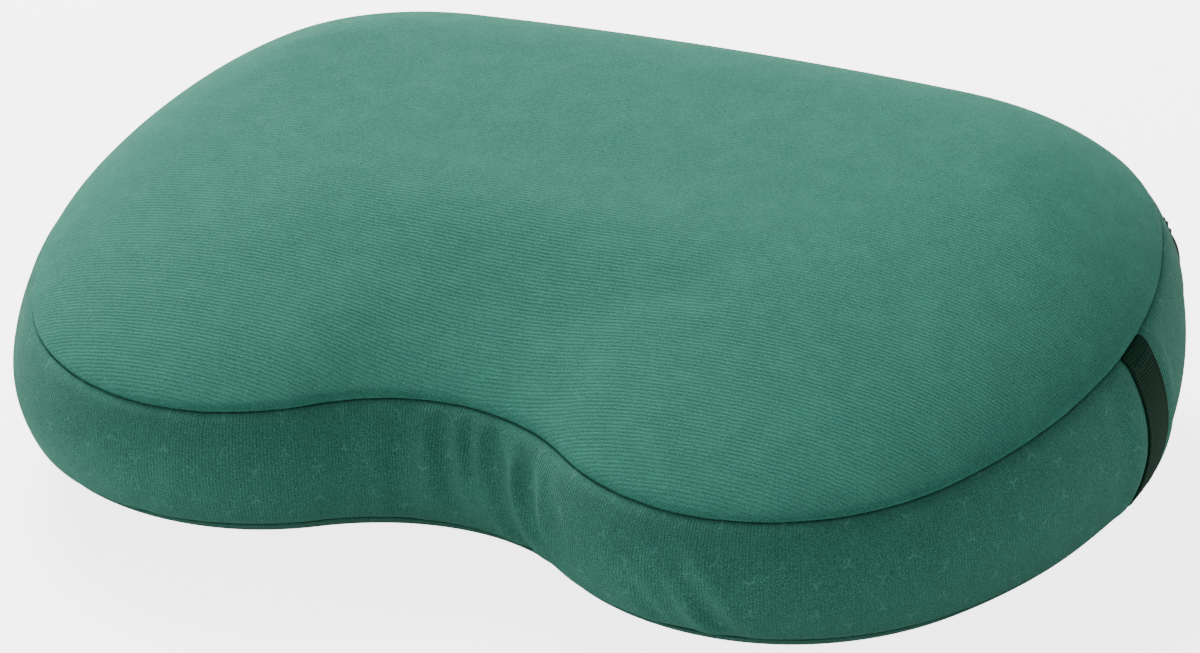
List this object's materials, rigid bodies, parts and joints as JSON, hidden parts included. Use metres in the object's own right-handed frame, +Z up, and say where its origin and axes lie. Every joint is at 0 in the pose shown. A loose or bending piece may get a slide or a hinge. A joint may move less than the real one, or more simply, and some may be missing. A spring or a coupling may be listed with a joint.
{
  "type": "camp pillow",
  "caption": "Kidney-shaped camp pillow: valved foam core in a zipped, brushed knit cover with a neck notch and webbing end loops.",
  "frame": {"origin": "middle of the flat bottom face that the pillow rests on", "axes": "+X along the pillow's length, +Y towards its straight back, -Y towards the neck notch, +Z up"},
  "size_m": [0.3846, 0.2575, 0.1049],
  "materials": {
    "top_jersey": "brushed knit",
    "band_jersey": "plain knit",
    "webbing": "woven",
    "label_satin": "satin",
    "zip_tape": "woven",
    "zip_coil": "satin",
    "zip_metal": "satin",
    "foam": "open cell",
    "film_fabric": "film laminate",
    "valve_plastic": "satin",
    "silicone": "matte"
  },
  "bodies": {
    "pillow": {"cover_top_panel": "top_jersey", "cover_bottom_panel": "band_jersey", "cover_side_band": "band_jersey", "cover_zip_panel_upper": "band_jersey", "cover_zip_panel_lower": "band_jersey", "end_loop_right": "webbing", "end_loop_left": "webbing", "care_label": "label_satin", "zip_tape_upper": "zip_tape", "zip_coil_upper": "zip_coil", "zip_tape_lower": "zip_tape", "zip_coil_lower": "zip_coil", "zip_stop_closed_end": "zip_metal", "zip_stop_open_end": "zip_metal", "foam_core": "foam", "core_top_skin": "film_fabric", "core_bottom_skin": "film_fabric", "core_side_wall": "film_fabric", "valve_body": "valve_plastic", "valve_window_binding": "webbing"},
    "slider": {"zip_slider": "zip_metal"},
    "pull_tab": {"zip_pull_tab": "zip_metal"},
    "plug": {"valve_plug": "valve_plastic", "valve_membrane": "silicone"},
    "cap": {"valve_cap": "valve_plastic"}
  },
  "joints": [
    {"name": "zip_travel", "type": "hinge", "parent": "pillow", "child": "slider", "pos_m": [0, -0.98, 0.048], "axis": [0, 0, 1], "range_deg": [0, 9.19]},
    {"name": "pull_tab_swing", "type": "hinge", "parent": "slider", "child": "pull_tab", "pos_m": [0.08984, 0.12719, 0.048], "axis": [0.9967, -0.0809, 0], "range_deg": [0, 165]},
    {"name": "plug_hinge", "type": "hinge", "parent": "pillow", "child": "plug", "pos_m": [0.15457, 0.10623, 0.05855], "axis": [0.766, -0.6428, 0], "range_deg": [0, 80]},
    {"name": "cap_hinge", "type": "hinge", "parent": "plug", "child": "cap", "pos_m": [0.15535, 0.10715, 0.0556], "axis": [0.766, -0.6428, 0], "range_deg": [0, 90]}
  ]
}
